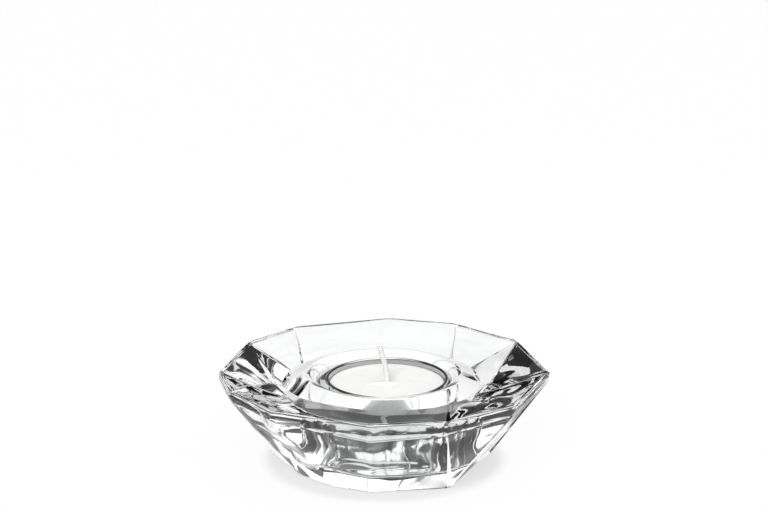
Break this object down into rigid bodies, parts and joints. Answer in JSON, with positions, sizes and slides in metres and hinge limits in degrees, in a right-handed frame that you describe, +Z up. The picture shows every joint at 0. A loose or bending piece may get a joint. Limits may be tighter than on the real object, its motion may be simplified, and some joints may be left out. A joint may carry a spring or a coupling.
{
  "type": "votive candle holder",
  "caption": "Faceted clear-glass votive holder with an irregular angular rim, a sloping dish and a raised round lip about its well, holding a tealight of white wax in a thin metal cup that lifts out.",
  "frame": {"origin": "on the axis of the round well, on the flat face that the holder stands on", "axes": "+Z up along the well's axis, +X to the viewer's right and +Y away from the viewer when the longest front facet faces them"},
  "size_m": [0.103, 0.1028, 0.0377],
  "materials": {
    "clear_glass": "polished crystal glass",
    "cup_aluminium": "bright drawn sheet",
    "white_wax": "smooth cast wax, slightly translucent",
    "wick_cotton": "braided, waxed cotton",
    "tinned_steel": "stamped tinplate"
  },
  "bodies": {
    "holder": {"glass_holder": "clear_glass"},
    "tealight_cup": {"candle_cup": "cup_aluminium"},
    "candle": {"candle_wax": "white_wax", "wick": "wick_cotton", "wick_sustainer": "tinned_steel"}
  },
  "joints": [
    {"name": "tealight_lift", "type": "slide", "parent": "holder", "child": "tealight_cup", "axis": [0, 0, 1], "range_m": [0, 0.03]},
    {"name": "wax_lift", "type": "slide", "parent": "tealight_cup", "child": "candle", "axis": [0, 0, 1], "range_m": [0, 0.025]}
  ]
}
